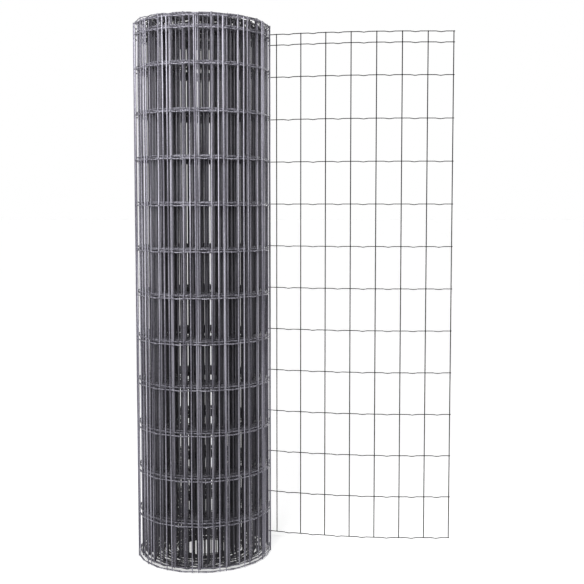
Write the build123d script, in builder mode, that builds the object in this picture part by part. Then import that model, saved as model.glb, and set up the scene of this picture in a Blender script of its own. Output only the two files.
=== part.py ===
from build123d import *
import math
import os

os.makedirs("parts", exist_ok=True)

# The wires of the fence.
line_wire = 2.2  # thickness of the wires that run along the fence
stay_wire = 2.5  # thickness of the upright stays
weld_sink = 0.4  # how far the two are pressed into each other at a weld
stay_pitch = 60.6  # from stay to stay, along the fence
stay_sides = 6

# The spacing of the line wires: two close spaces under the top edge, even ones below.
first_space = 25.4
second_space = 76.2
even_space = 101.6
even_spaces = 11
edge_margin = 7.0  # from an end of the roll to the middle of the loose end's edge wire
stay_overhang = 1.6  # a stay reaches this far past the middle of an edge wire

# The small dip in every line wire, midway between two stays.
crimp_drop = 1.7
crimp_half_length = 12.0

# The roll. Its ends are ridged, with two or three turns of the fence to a ridge. The turns
# aren't wound quite level, so the roll is a little taller than the loose end.
roll_radius = 160.0
bore_radius = 53.6
ridge_count = 15
ridge_depth = 4.0

# The loose end: it leaves the roll along a tangent, eases round and runs straight.
weld_setback = 2.0  # from the last weld in the roll to where the fence leaves the roll
lead_angle = 21.0  # degrees between the tangent and the straight run
easing_cells = 7
straight_cells = 2
tip_overhang = 2.4  # line wire past the last stay

ridge_pitch = (roll_radius - bore_radius) / ridge_count

row_heights = [edge_margin + even_space * i for i in range(even_spaces + 1)]
row_heights.append(row_heights[-1] + second_space)
row_heights.append(row_heights[-1] + first_space)
roll_height = row_heights[-1] + edge_margin

# The weld line of the loose end in plan. The first point is where the outermost turn
# leaves the roll, and a stay stands at each of the others.
weld_radius = roll_radius - stay_wire + weld_sink - line_wire / 2
ease_angle = lead_angle / easing_cells
headings = [ease_angle * i - lead_angle for i in range(easing_cells)]
headings += [0.0] * straight_cells
leave_angle = math.radians(90.0 - lead_angle)
weld_points = [(weld_radius * math.cos(leave_angle), weld_radius * math.sin(leave_angle))]
for heading in headings:
    last_x, last_y = weld_points[-1]
    step = stay_pitch if len(weld_points) > 1 else stay_pitch - weld_setback
    step_x = step * math.cos(math.radians(heading))
    step_y = step * math.sin(math.radians(heading))
    weld_points.append((last_x + step_x, last_y + step_y))

# Where two cells meet, the fence faces halfway between them.
facings = [headings[0]]
facings += [(a + b) / 2 for a, b in zip(headings, headings[1:])]
facings.append(headings[-1])

tip_x = weld_points[-1][0] + tip_overhang
tip_y = weld_points[-1][1]


def beside(index, distance):
    """A point square to the fence at one of the weld points, on its outer side."""
    x, y = weld_points[index]
    facing = math.radians(facings[index])
    return (x - distance * math.sin(facing), y + distance * math.cos(facing))


def wire_side(distance):
    """One long side of the line wires in plan, from the roll to the tip."""
    mitre = math.cos(math.radians(ease_angle / 2))
    return [beside(i, distance / mitre) for i in range(len(weld_points) - 1)] + [
        (tip_x, tip_y + distance)
    ]


def crimped_edge(height):
    """The upper or lower edge of one line wire, seen square on, with its dips."""
    points = [(weld_points[0][0] - line_wire, height)]
    for (left, _), (right, _) in zip(weld_points, weld_points[1:]):
        middle = (left + right) / 2
        points.append((middle - crimp_half_length, height))
        points.append((middle, height - crimp_drop))
        points.append((middle + crimp_half_length, height))
    points.append((tip_x + line_wire, height))
    return points


def roll_end(face_height, groove_height):
    """The ridges on one end of the roll, from the bore to the outside."""
    points = [(bore_radius, face_height)]
    for ridge in range(1, ridge_count):
        groove_radius = bore_radius + ridge * ridge_pitch
        points.append((groove_radius - ridge_pitch / 2, face_height))
        points.append((groove_radius, groove_height))
    points.append((roll_radius - ridge_pitch / 2, face_height))
    points.append((roll_radius, face_height))
    return points


with BuildSketch(Plane.XY) as line_wire_outline:
    with BuildLine():
        Polyline(crimped_edge(line_wire / 2) + crimped_edge(-line_wire / 2)[::-1], close=True)
    make_face()

with BuildPart() as fence_roll:
    # All line wires of the loose end, seen square on and then cut to their path in plan.
    with BuildSketch(Plane.XZ):
        with Locations(*[(0, height) for height in row_heights]):
            add(line_wire_outline.sketch)
    extrude(amount=roll_radius, both=True)
    with BuildSketch(Plane.XY):
        with BuildLine():
            Polyline(wire_side(line_wire / 2) + wire_side(-line_wire / 2)[::-1], close=True)
        make_face()
    extrude(amount=roll_height, mode=Mode.INTERSECT)

    # The stays stand on the outer side of the line wires.
    stay_distance = (line_wire + stay_wire) / 2 - weld_sink
    with BuildSketch(Plane.XY.offset(row_heights[0] - stay_overhang)):
        for index in range(1, len(weld_points)):
            with Locations(beside(index, stay_distance)):
                RegularPolygon(stay_wire / 2, stay_sides, rotation=facings[index])
    extrude(amount=row_heights[-1] - row_heights[0] + 2 * stay_overhang)

    # The wound turns, as one ring about the bore, with their ridges on both ends.
    with BuildSketch(Plane.XZ):
        with BuildLine():
            bottom_end = roll_end(0, ridge_depth)
            top_end = roll_end(roll_height, roll_height - ridge_depth)
            Polyline(bottom_end + top_end[::-1], close=True)
        make_face()
    revolve(axis=Axis.Z)

fence_roll.part.label = "fence_roll"
export_step(fence_roll.part, "parts/fence_roll.step")
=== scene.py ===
import math

import bpy
import numpy as np
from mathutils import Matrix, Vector


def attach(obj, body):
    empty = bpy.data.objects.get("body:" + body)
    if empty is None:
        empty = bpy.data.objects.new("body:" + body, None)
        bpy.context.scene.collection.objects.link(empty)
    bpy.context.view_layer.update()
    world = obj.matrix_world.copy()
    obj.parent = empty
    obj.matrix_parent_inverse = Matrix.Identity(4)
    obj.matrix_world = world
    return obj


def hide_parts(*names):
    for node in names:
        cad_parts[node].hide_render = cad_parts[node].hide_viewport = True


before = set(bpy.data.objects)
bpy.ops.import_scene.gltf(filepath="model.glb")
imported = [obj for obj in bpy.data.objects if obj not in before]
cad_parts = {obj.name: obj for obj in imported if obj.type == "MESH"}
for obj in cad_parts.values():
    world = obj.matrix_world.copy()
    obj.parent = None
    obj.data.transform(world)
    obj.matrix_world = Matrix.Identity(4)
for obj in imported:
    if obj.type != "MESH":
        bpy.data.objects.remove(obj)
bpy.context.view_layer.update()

MM = 0.001
SEED = 1058

# The fence, in millimetres, as in the solids.
LINE_WIRE = 2.2
STAY_WIRE = 2.5
WELD_SINK = 0.4
STAY_PITCH = 60.6
EDGE_MARGIN = 7.0
EVEN_SPACE = 101.6
EVEN_SPACES = 11
SECOND_SPACE = 76.2
FIRST_SPACE = 25.4
STAY_OVERHANG = 1.6
CRIMP_DROP = 1.7
CRIMP_HALF = 12.0

# The roll and the loose end.
ROLL_RADIUS = 160.0
BORE_RADIUS = 53.6
FENCE_LENGTH = 25000.0
WELD_SETBACK = 2.0
LEAD_ANGLE = 21.0
EASING_CELLS = 7
STRAIGHT_CELLS = 2
TIP_OVERHANG = 2.4
BORE_GAP = 0.2  # between the innermost turn and the bore of the solids

LOOSE_CELLS = EASING_CELLS + STRAIGHT_CELLS
LOOSE_LENGTH = LOOSE_CELLS * STAY_PITCH - WELD_SETBACK
WELD_RADIUS = ROLL_RADIUS - STAY_WIRE + WELD_SINK - LINE_WIRE / 2
INNER_RADIUS = BORE_RADIUS + LINE_WIRE / 2 + BORE_GAP
STAY_DISTANCE = (LINE_WIRE + STAY_WIRE) / 2 - WELD_SINK
WOUND_LENGTH = FENCE_LENGTH - LOOSE_LENGTH
TURN_PITCH = math.pi * (WELD_RADIUS ** 2 - INNER_RADIUS ** 2) / WOUND_LENGTH
STAY_COUNT = int(FENCE_LENGTH // STAY_PITCH) + 1

# How unevenly the turns are wound. Each kind of unevenness follows a smooth random curve, whose
# knots are so many radians of winding apart, and sets in over the first EASE_IN radians.
EASE_IN = 3.0
SLIP = 0.12  # at most so many radians round the roll's axis
SLIP_KNOTS = 6.0
LEAN = 3.0  # at most so many millimetres sideways
LEAN_KNOTS = 2.2
TURN_KNOT_COUNT = 200  # knots of the slip, and as many of the lean
TELESCOPE = 4.7  # at most so many millimetres up or down from TELESCOPE_RISE
TELESCOPE_RISE = 0.6
SLOW_KNOTS = 4.7  # telescoping is a slow curve and a quick one, added up
QUICK_KNOTS = 1.3
SLOW_SHARE = 0.85
OUTERMOST_KNOTS = 2  # the first knots of the slow curve, where the outermost turns sit low
SHIFT_KNOT_COUNT = 300

# A stay is in its place at the height UPRIGHT_AT. LEAN_HEIGHT above that it is aside by its whole
# lean, which is the lean of the fence there and a random one of its own, with this deviation.
STAY_LEAN = 0.7
UPRIGHT_AT = 350.0
LEAN_HEIGHT = 900.0

# The meshes of the wires.
WIRE_SIDES = 6
BESIDE_WELD = 0.15  # from a weld to the next point of a line wire, as a share of a cell
OUTER_STAYS = 100  # how many of the roll's stays are in the piece of the outer turns

# The zinc, in its dull and its bright streaks. The line wires are darker than the stays by a
# painted shade.
DULL_ZINC = (0.10, 0.094, 0.122)
BRIGHT_ZINC = (0.455, 0.445, 0.515)
DULL_BELOW = 0.38
BRIGHT_ABOVE = 0.62
STAY_TONE = 1.0
# The line wires' lower tone is a painted shade, not a duller zinc.
LINE_WIRE_PAINTED_SHADE = 0.7
STREAK_SCALE = 300.0
STREAK_STRETCH = 0.01
STREAK_DETAIL = 1.0
SPANGLE_SCALE = 420.0
SPANGLE_SHARE = 0.12
ROUGHNESS = (0.42, 0.6)
BUMP_STRENGTH = 0.25
BUMP_HEIGHT = 0.2

# Painted shade: the wire is painted darker towards the bore, where the roll's inside lies in shade,
# and much darker along the loose end, so that it reads dark before white.
# Each tone stands at a share of the way from the bore to the radius TONE_RADIUS.
TONE_RADIUS = 200.0
PAINTED_SHADE_TONES = ((0.0, 0.2), (0.55, 0.35), (0.70, 1.0), (0.73, 1.0), (0.80, 0.03), (1.0, 0.03))
METAL_FROM = 0.70
METAL_TO = 0.80
ROLL_METAL = 0.2
LOOSE_METAL = 1.0

# Light. Directions are towards each lamp, and lengths are in metres. The floor's own glow brings
# it up to white where nothing shades it.
AMBIENT = 0.16
LEFT_LIGHT = 0.5
LEFT_FROM = (-2.2, -0.9, 0.7)
RIGHT_LIGHT = 0.5
RIGHT_FROM = (2.2, -0.7, 0.6)
BACK_LIGHT = 2.0
BACK_FROM = (0.5, 2.2, 1.0)
SUN_WIDTH = 40.0
KEY_LIGHT = 15.0
KEY_SIZE = 0.6
KEY_PLACE = (-0.25, -0.95, 1.2)
KEY_TARGET = (0, 0, 0.9)
FLOOR_COLOUR = (0.9, 0.9, 0.9, 1)
FLOOR_ROUGHNESS = 0.9
FLOOR_GLOW = 0.551
FLOOR_REACH = 60.0

# The camera, fitted to the outline of the roll and of its loose end. Its place is in metres.
SENSOR_WIDTH = 36.0
LENS = 59.61
LENS_SHIFT = -0.03
CAMERA_PLACE = (0.2064, -2.252, 0.813)
CAMERA_DOWN = 4.001


def row_heights():
    """Heights of the line wires where nothing has slipped, from the lowest up."""
    rows = [EDGE_MARGIN + EVEN_SPACE * i for i in range(EVEN_SPACES + 1)]
    rows.append(rows[-1] + SECOND_SPACE)
    rows.append(rows[-1] + FIRST_SPACE)
    return rows


def loose_points():
    """Plan points of the welds of the loose end, from the free edge to the roll."""
    ease = LEAD_ANGLE / EASING_CELLS
    headings = [ease * i - LEAD_ANGLE for i in range(EASING_CELLS)] + [0.0] * STRAIGHT_CELLS
    leave = math.radians(90 - LEAD_ANGLE)
    points = [np.array([math.cos(leave), math.sin(leave)]) * WELD_RADIUS]
    steps = [STAY_PITCH - WELD_SETBACK] + [STAY_PITCH] * (LOOSE_CELLS - 1)
    for heading, step in zip(np.radians(headings), steps):
        points.append(points[-1] + np.array([math.cos(heading), math.sin(heading)]) * step)
    return np.array(points[::-1])


LOOSE = loose_points()


def smooth(knots, where):
    """A smooth curve through evenly spaced knots."""
    low = np.floor(where).astype(int)
    part = where - low
    part = part * part * (3 - 2 * part)
    return knots[low] * (1 - part) + knots[low + 1] * part


class Winding:
    """How the fence is wound, and how far each stretch of it has slipped."""

    def __init__(self, rng):
        self.slip = rng.uniform(-1, 1, TURN_KNOT_COUNT)
        self.lean = rng.uniform(-1, 1, TURN_KNOT_COUNT)
        self.stay_lean = rng.normal(0, STAY_LEAN, STAY_COUNT - LOOSE_CELLS)
        self.slow = rng.uniform(-1, 1, SHIFT_KNOT_COUNT)
        self.slow[:OUTERMOST_KNOTS] = -1.0
        self.quick = rng.uniform(-1, 1, SHIFT_KNOT_COUNT)

    def place(self, distance):
        """Plan place, outward direction and wound angle at distances from the free edge."""
        # The loose end. Its cell next to the roll is short, and distances below nought lie past
        # the last stay, straight on.
        stations = np.minimum(np.arange(LOOSE_CELLS + 1) * STAY_PITCH, LOOSE_LENGTH)
        flat = np.stack([np.interp(distance, stations, LOOSE[:, i]) for i in (0, 1)], -1)
        flat[:, 0] -= np.minimum(distance, 0.0)
        slopes = np.gradient(LOOSE, axis=0)
        slopes /= np.linalg.norm(slopes, axis=1)[:, None]
        along = np.stack([np.interp(distance, stations, slopes[:, i]) for i in (0, 1)], -1)
        flat_out = np.stack([along[:, 1], -along[:, 0]], -1)

        # The roll, as a spiral.
        wound = np.maximum(distance - LOOSE_LENGTH, 0.0)
        radius = np.sqrt(WELD_RADIUS ** 2 - TURN_PITCH * wound / math.pi)
        turned = (WELD_RADIUS - radius) * 2 * math.pi / TURN_PITCH
        slip = SLIP * smooth(self.slip, turned / SLIP_KNOTS) * np.clip(turned / EASE_IN, 0, 1)
        angle = math.radians(90 - LEAD_ANGLE) + turned + slip
        radial = np.stack([np.cos(angle), np.sin(angle)], -1)
        in_roll = (distance > LOOSE_LENGTH)[:, None]
        place = np.where(in_roll, radial * radius[:, None], flat)
        out = np.where(in_roll, radial, flat_out)
        return place, out, turned

    def shift(self, turned):
        """How far the fence has slipped along the roll's axis."""
        slow = np.sin(math.pi / 2 * smooth(self.slow, turned / SLOW_KNOTS))
        quick = smooth(self.quick, turned / QUICK_KNOTS)
        uneven = TELESCOPE * (SLOW_SHARE * slow + (1 - SLOW_SHARE) * quick) + TELESCOPE_RISE
        return uneven * np.clip(turned / EASE_IN, 0, 1)

    def aside(self, index, turned, heights):
        """How far a stay stands aside at each height, because the fence leans."""
        if index < LOOSE_CELLS:
            return np.zeros(len(heights))
        lean = LEAN * smooth(self.lean, turned / LEAN_KNOTS) + self.stay_lean[index - LOOSE_CELLS]
        return lean * min(1.0, turned / EASE_IN) * (heights - UPRIGHT_AT) / LEAN_HEIGHT


def tube(points, ups, radius):
    """A bar along points, with an upward direction at each of them, and with flat ends."""
    sides = WIRE_SIDES
    tangent = np.gradient(points, axis=0)
    tangent /= np.linalg.norm(tangent, axis=1)[:, None]
    side = np.cross(tangent, ups)
    side /= np.linalg.norm(side, axis=1)[:, None]
    up = np.cross(side, tangent)
    turn = np.arange(sides) * 2 * math.pi / sides
    ring = np.cos(turn)[None, :, None] * side[:, None] + np.sin(turn)[None, :, None] * up[:, None]
    verts = (points[:, None] + radius * ring).reshape(-1, 3) * MM
    count = len(points)
    first = (np.arange(count - 1) * sides)[:, None]
    here = np.arange(sides)[None, :]
    after = (here + 1) % sides
    quads = np.stack([first + here, first + sides + here, first + sides + after, first + after], -1)
    faces = quads.reshape(-1, 4).tolist()
    faces.append(list(range(sides)))
    faces.append(list(range((count - 1) * sides, count * sides))[::-1])
    return verts, faces


def add_mesh(name, parts, material):
    """One piece of the fence, joined from several bars."""
    verts = []
    faces = []
    total = 0
    for part_verts, part_faces in parts:
        verts.append(part_verts)
        faces += [[i + total for i in face] for face in part_faces]
        total += len(part_verts)
    mesh = bpy.data.meshes.new(name)
    mesh.from_pydata(np.concatenate(verts).tolist(), [], faces)
    # The sides of a bar look round, and its ends stay flat.
    mesh.polygons.foreach_set("use_smooth", [len(face) == 4 for face in faces])
    mesh.materials.append(material)
    mesh.update()
    piece = bpy.data.objects.new(name, mesh)
    bpy.context.scene.collection.objects.link(piece)
    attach(piece, "root")
    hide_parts("fence_roll")


def line_wire_stations():
    """Distances along a line wire, closer where it dips, and how deep it dips at each."""
    half = CRIMP_HALF / STAY_PITCH
    parts = np.array([0.0, BESIDE_WELD, 0.5 - half, 0.5, 0.5 + half, 1 - BESIDE_WELD])
    dips = np.array([0, 0, 0, CRIMP_DROP, 0, 0])
    cells = np.arange(STAY_COUNT - 1)
    distance = ((cells[:, None] + parts) * STAY_PITCH).ravel()
    depth = np.tile(dips, STAY_COUNT - 1)
    last = (STAY_COUNT - 1) * STAY_PITCH
    distance = np.concatenate([[-TIP_OVERHANG], distance, [last, last + TIP_OVERHANG]])
    depth = np.concatenate([[0], depth, [0, 0]])
    return distance, depth


def make_line_wires(winding, material):
    """Each line wire is one piece, from the free edge to the bore."""
    distance, depth = line_wire_stations()
    place, _, turned = winding.place(distance)
    shift = winding.shift(turned)
    for row, height in enumerate(row_heights()):
        points = np.column_stack([place, height + shift - depth])
        ups = np.tile([0.0, 0.0, 1.0], (len(points), 1))
        add_mesh(f"line_wire_{row + 1:02d}", [tube(points, ups, LINE_WIRE / 2)], material)


def make_stays(winding, material):
    """The stays, in three pieces."""
    distance = np.arange(STAY_COUNT) * STAY_PITCH
    place, out, turned = winding.place(distance)
    shift = winding.shift(turned)
    rows = np.array(row_heights())
    bars = []
    for index in range(STAY_COUNT):
        welds = rows + shift[index]
        ends = np.array([welds[0] - STAY_OVERHANG, *welds, welds[-1] + STAY_OVERHANG])
        along = np.array([-out[index][1], out[index][0]])
        aside = winding.aside(index, turned[index], ends)
        plan = place[index] + out[index] * STAY_DISTANCE + along * aside[:, None]
        points = np.column_stack([plan, ends])
        ups = np.tile([*out[index], 0.0], (len(points), 1))
        bars.append(tube(points, ups, STAY_WIRE / 2))
    outer = LOOSE_CELLS + OUTER_STAYS
    add_mesh("stays_loose_end", bars[:LOOSE_CELLS], material)
    add_mesh("stays_outer_turns", bars[LOOSE_CELLS:outer], material)
    add_mesh("stays_inner_turns", bars[outer:], material)


def colour_ramp(nodes, stops):
    """A colour ramp with these stops, each a position and a colour."""
    ramp = nodes.new("ShaderNodeValToRGB")
    elements = ramp.color_ramp.elements
    for element, (position, colour) in zip((elements[0], elements[1]), (stops[0], stops[-1])):
        element.position = position
        element.color = (*colour, 1)
    for position, colour in stops[1:-1]:
        elements.new(position).color = (*colour, 1)
    return ramp


def zinc_pattern(nodes, links, place):
    """Long streaks along the stays, with a little of the zinc's spangle."""
    stretch = nodes.new("ShaderNodeMapping")
    stretch.inputs["Scale"].default_value = (1.0, 1.0, STREAK_STRETCH)
    links.new(place, stretch.inputs["Vector"])
    streaks = nodes.new("ShaderNodeTexNoise")
    streaks.inputs["Scale"].default_value = STREAK_SCALE
    streaks.inputs["Detail"].default_value = STREAK_DETAIL
    links.new(stretch.outputs["Vector"], streaks.inputs["Vector"])
    spangle = nodes.new("ShaderNodeTexVoronoi")
    spangle.inputs["Scale"].default_value = SPANGLE_SCALE
    links.new(place, spangle.inputs["Vector"])
    mix = nodes.new("ShaderNodeMix")
    mix.data_type = "FLOAT"
    mix.inputs["Factor"].default_value = SPANGLE_SHARE
    links.new(streaks.outputs["Fac"], mix.inputs["A"])
    links.new(spangle.outputs["Color"], mix.inputs["B"])
    return mix.outputs["Result"]


def reach_from_bore(nodes, links, place):
    """How far a point is out from the bore, as a share of the way to TONE_RADIUS."""
    flatten = nodes.new("ShaderNodeVectorMath")
    flatten.operation = "MULTIPLY"
    flatten.inputs[1].default_value = (1, 1, 0)
    links.new(place, flatten.inputs[0])
    from_axis = nodes.new("ShaderNodeVectorMath")
    from_axis.operation = "LENGTH"
    links.new(flatten.outputs[0], from_axis.inputs[0])
    reach = nodes.new("ShaderNodeMapRange")
    reach.inputs["From Min"].default_value = BORE_RADIUS * MM
    reach.inputs["From Max"].default_value = TONE_RADIUS * MM
    links.new(from_axis.outputs["Value"], reach.inputs["Value"])
    return reach.outputs["Result"]


def galvanised_wire(name, tone):
    """Streaky zinc. Its colours are multiplied by a tone, which is a painted shade where it is
    below one. They are also multiplied by a painted shade that darkens towards the bore and along
    the loose end.
    """
    material = bpy.data.materials.new(name)
    material.use_nodes = True
    nodes = material.node_tree.nodes
    links = material.node_tree.links
    shader = nodes["Principled BSDF"]
    place = nodes.new("ShaderNodeTexCoord").outputs["Object"]
    pattern = zinc_pattern(nodes, links, place)
    reach = reach_from_bore(nodes, links, place)

    dull = [tone * part for part in DULL_ZINC]
    bright = [tone * part for part in BRIGHT_ZINC]
    tint = colour_ramp(nodes, [(DULL_BELOW, dull), (BRIGHT_ABOVE, bright)])
    links.new(pattern, tint.inputs["Fac"])
    # Painted shade: the wire is darker towards the bore and along the loose end.
    level = colour_ramp(nodes, [(position, [shade] * 3) for position, shade in PAINTED_SHADE_TONES])
    links.new(reach, level.inputs["Fac"])
    tint_and_painted_shade = nodes.new("ShaderNodeMix")
    tint_and_painted_shade.data_type = "RGBA"
    tint_and_painted_shade.blend_type = "MULTIPLY"
    tint_and_painted_shade.inputs["Factor"].default_value = 1.0
    links.new(tint.outputs["Color"], tint_and_painted_shade.inputs["A"])
    links.new(level.outputs["Color"], tint_and_painted_shade.inputs["B"])
    links.new(tint_and_painted_shade.outputs["Result"], shader.inputs["Base Color"])

    metal = nodes.new("ShaderNodeMapRange")
    metal.inputs["From Min"].default_value = METAL_FROM
    metal.inputs["From Max"].default_value = METAL_TO
    metal.inputs["To Min"].default_value = ROLL_METAL
    metal.inputs["To Max"].default_value = LOOSE_METAL
    links.new(reach, metal.inputs["Value"])
    links.new(metal.outputs["Result"], shader.inputs["Metallic"])
    rough = nodes.new("ShaderNodeMapRange")
    rough.inputs["To Min"].default_value = ROUGHNESS[0]
    rough.inputs["To Max"].default_value = ROUGHNESS[1]
    links.new(pattern, rough.inputs["Value"])
    links.new(rough.outputs["Result"], shader.inputs["Roughness"])
    bump = nodes.new("ShaderNodeBump")
    bump.inputs["Strength"].default_value = BUMP_STRENGTH
    bump.inputs["Distance"].default_value = BUMP_HEIGHT * MM
    links.new(pattern, bump.inputs["Height"])
    links.new(bump.outputs["Normal"], shader.inputs["Normal"])
    return material


def seen_directly(tree):
    """One for what the camera sees, straight or mirrored in metal, and nought for other rays."""
    light_path = tree.nodes.new("ShaderNodeLightPath")
    total = light_path.outputs["Is Camera Ray"]
    for ray in ("Is Glossy Ray", "Is Transmission Ray"):
        largest = tree.nodes.new("ShaderNodeMath")
        largest.operation = "MAXIMUM"
        tree.links.new(total, largest.inputs[0])
        tree.links.new(light_path.outputs[ray], largest.inputs[1])
        total = largest.outputs[0]
    return total


def make_floor():
    """A white floor that shows nothing but the shadows on it."""
    material = bpy.data.materials.new("floor_white")
    material.use_nodes = True
    tree = material.node_tree
    shader = tree.nodes["Principled BSDF"]
    shader.inputs["Base Color"].default_value = FLOOR_COLOUR
    shader.inputs["Roughness"].default_value = FLOOR_ROUGHNESS
    shader.inputs["Specular IOR Level"].default_value = 0.0
    shader.inputs["Emission Color"].default_value = (1, 1, 1, 1)
    glow = tree.nodes.new("ShaderNodeMath")
    glow.operation = "MULTIPLY"
    glow.inputs[1].default_value = FLOOR_GLOW
    tree.links.new(seen_directly(tree), glow.inputs[0])
    tree.links.new(glow.outputs[0], shader.inputs["Emission Strength"])
    mesh = bpy.data.meshes.new("floor")
    turns = [(-1, -1), (1, -1), (1, 1), (-1, 1)]
    corners = [(x * FLOOR_REACH, y * FLOOR_REACH, 0) for x, y in turns]
    mesh.from_pydata(corners, [], [(0, 1, 2, 3)])
    mesh.materials.append(material)
    floor = bpy.data.objects.new("floor", mesh)
    bpy.context.scene.collection.objects.link(floor)


def make_world():
    """A background that is white where it is seen, and that lights the fence by AMBIENT."""
    world = bpy.data.worlds.new("studio")
    bpy.context.scene.world = world
    world.use_nodes = True
    tree = world.node_tree
    back = tree.nodes["Background"]
    back.inputs["Color"].default_value = (1, 1, 1, 1)
    level = tree.nodes.new("ShaderNodeMapRange")
    level.inputs["To Min"].default_value = AMBIENT
    level.inputs["To Max"].default_value = 1.0
    tree.links.new(seen_directly(tree), level.inputs["Value"])
    tree.links.new(level.outputs["Result"], back.inputs["Strength"])


def soft_sun(name, towards, strength):
    """A wide sun, which stands in the direction given."""
    light = bpy.data.lights.new(name, "SUN")
    light.energy = strength
    light.angle = math.radians(SUN_WIDTH)
    lamp = bpy.data.objects.new(name, light)
    lamp.rotation_euler = Vector(towards).to_track_quat("Z", "Y").to_euler()
    bpy.context.scene.collection.objects.link(lamp)


def soft_box(name, place, target, power):
    """A square lamp, turned towards a target."""
    light = bpy.data.lights.new(name, "AREA")
    light.size = KEY_SIZE
    light.energy = power
    lamp = bpy.data.objects.new(name, light)
    lamp.location = place
    lamp.rotation_euler = (Vector(place) - Vector(target)).to_track_quat("Z", "Y").to_euler()
    lamp.visible_camera = False
    bpy.context.scene.collection.objects.link(lamp)


def make_camera():
    camera = bpy.data.cameras.new("camera")
    camera.sensor_width = SENSOR_WIDTH
    camera.lens = LENS
    camera.shift_y = LENS_SHIFT
    holder = bpy.data.objects.new("camera", camera)
    holder.location = CAMERA_PLACE
    holder.rotation_euler = (math.radians(90 - CAMERA_DOWN), 0, 0)
    bpy.context.scene.collection.objects.link(holder)
    bpy.context.scene.camera = holder


def main():
    winding = Winding(np.random.default_rng(SEED))
    make_line_wires(winding, galvanised_wire("line_wire_zinc_painted_shade", LINE_WIRE_PAINTED_SHADE))
    make_stays(winding, galvanised_wire("stay_zinc_painted_shade", STAY_TONE))
    make_floor()
    make_world()
    soft_sun("left_light", LEFT_FROM, LEFT_LIGHT)
    soft_sun("right_light", RIGHT_FROM, RIGHT_LIGHT)
    soft_sun("back_light", BACK_FROM, BACK_LIGHT)
    soft_box("key_light", KEY_PLACE, KEY_TARGET, KEY_LIGHT)
    make_camera()
    bpy.context.scene.view_settings.view_transform = "Standard"


main()
